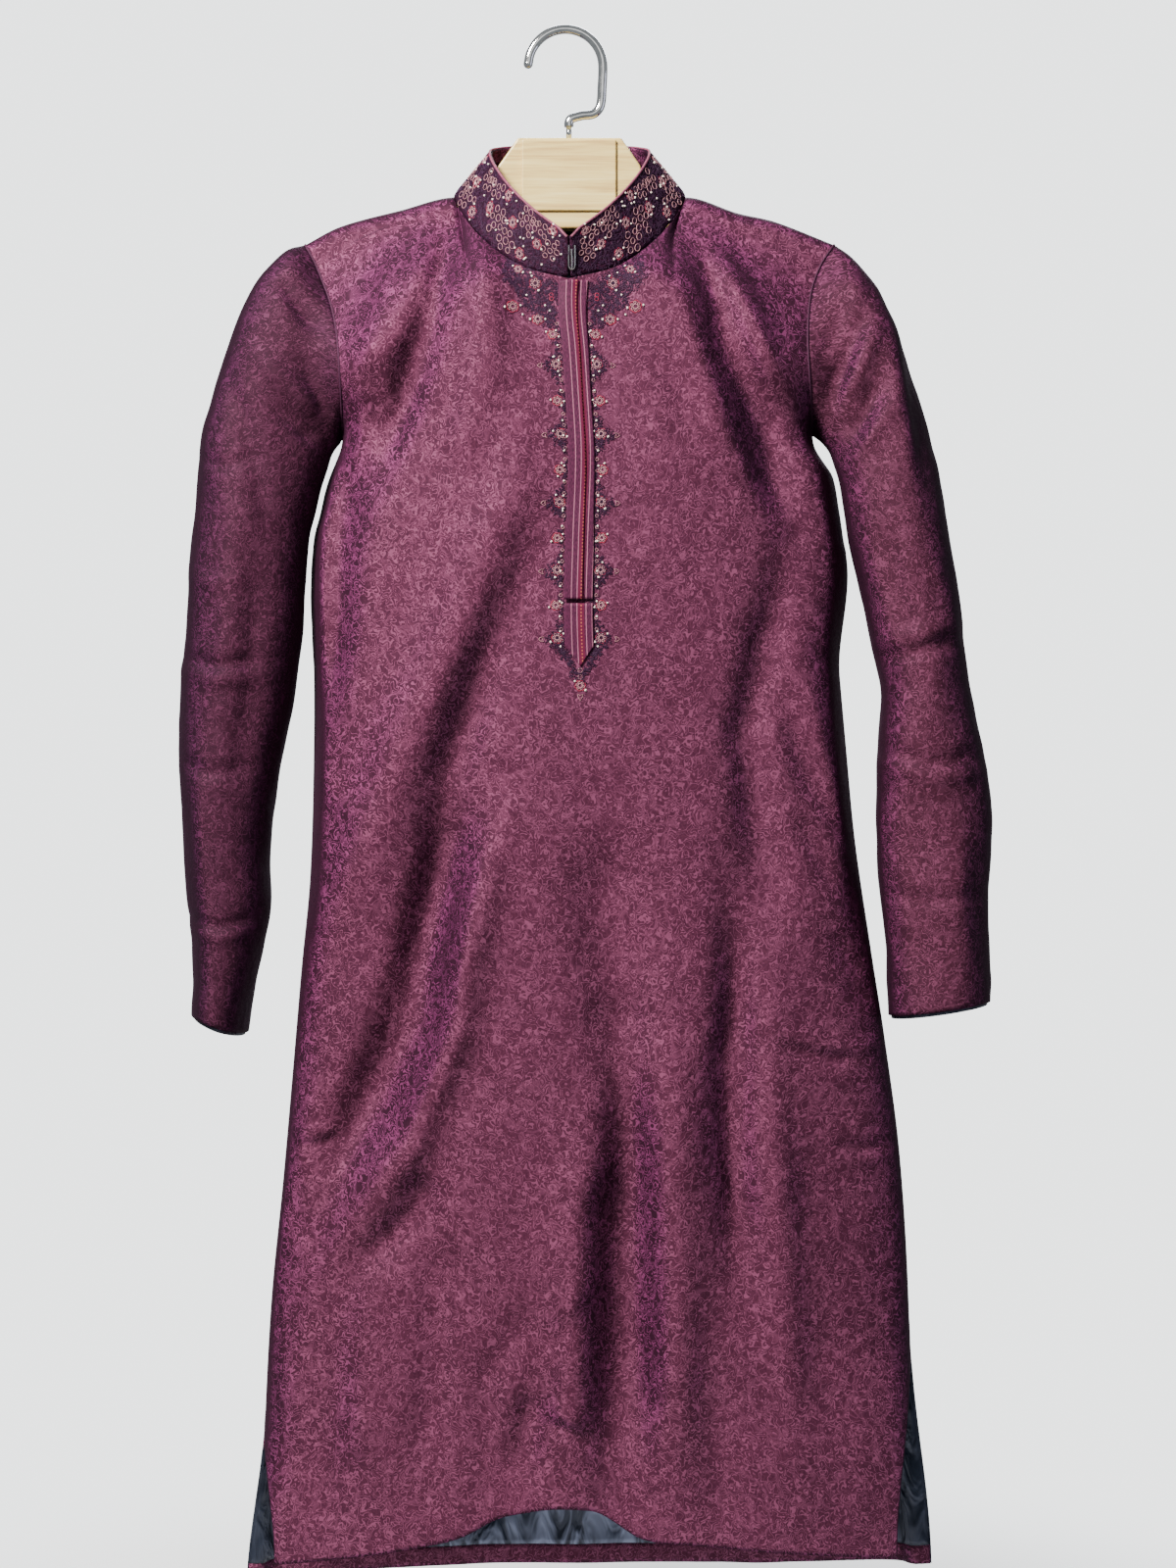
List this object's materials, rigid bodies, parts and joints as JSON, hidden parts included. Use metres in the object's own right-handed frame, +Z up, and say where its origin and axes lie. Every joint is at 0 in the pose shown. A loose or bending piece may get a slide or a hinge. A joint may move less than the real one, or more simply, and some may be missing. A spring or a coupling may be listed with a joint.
{
  "type": "kurta on a hanger",
  "caption": "Long-sleeved kurta of plum jacquard with a band collar, striped placket and side slits, hanging on a wooden coat hanger.",
  "frame": {"origin": "inside top of the hanger's hook, where a rail carries it", "axes": "+Z up along the kurta's length, -Y out of the kurta's front, +X towards the sleeve on the right as seen from the front"},
  "size_m": [0.628, 0.1233, 1.2109],
  "materials": {
    "jacquard": "plum jacquard with a violet sheen",
    "collar_cloth": "plum jacquard, embroidered",
    "ribbon": "striped satin",
    "thread": "embroidery thread",
    "lining": "satin",
    "wood": "clear lacquer",
    "nickel": "nickel plated",
    "chrome": "polished"
  },
  "bodies": {
    "root": {"front": "jacquard", "back": "jacquard", "sleeve_left": "jacquard", "sleeve_right": "jacquard", "collar": "collar_cloth", "placket_under": "ribbon", "placket_over": "ribbon", "placket_end": "ribbon", "back_lining": "lining", "back_hem_facing": "jacquard", "cuff_lining_left": "lining", "cuff_lining_right": "lining", "collar_hook": "nickel", "collar_eye": "nickel", "hanger_arm_left": "wood", "hanger_arm_right": "wood", "hanger_block": "wood", "hanger_face": "wood", "hanger_hook": "chrome", "hanger_stem": "chrome"}
  },
  "joints": []
}
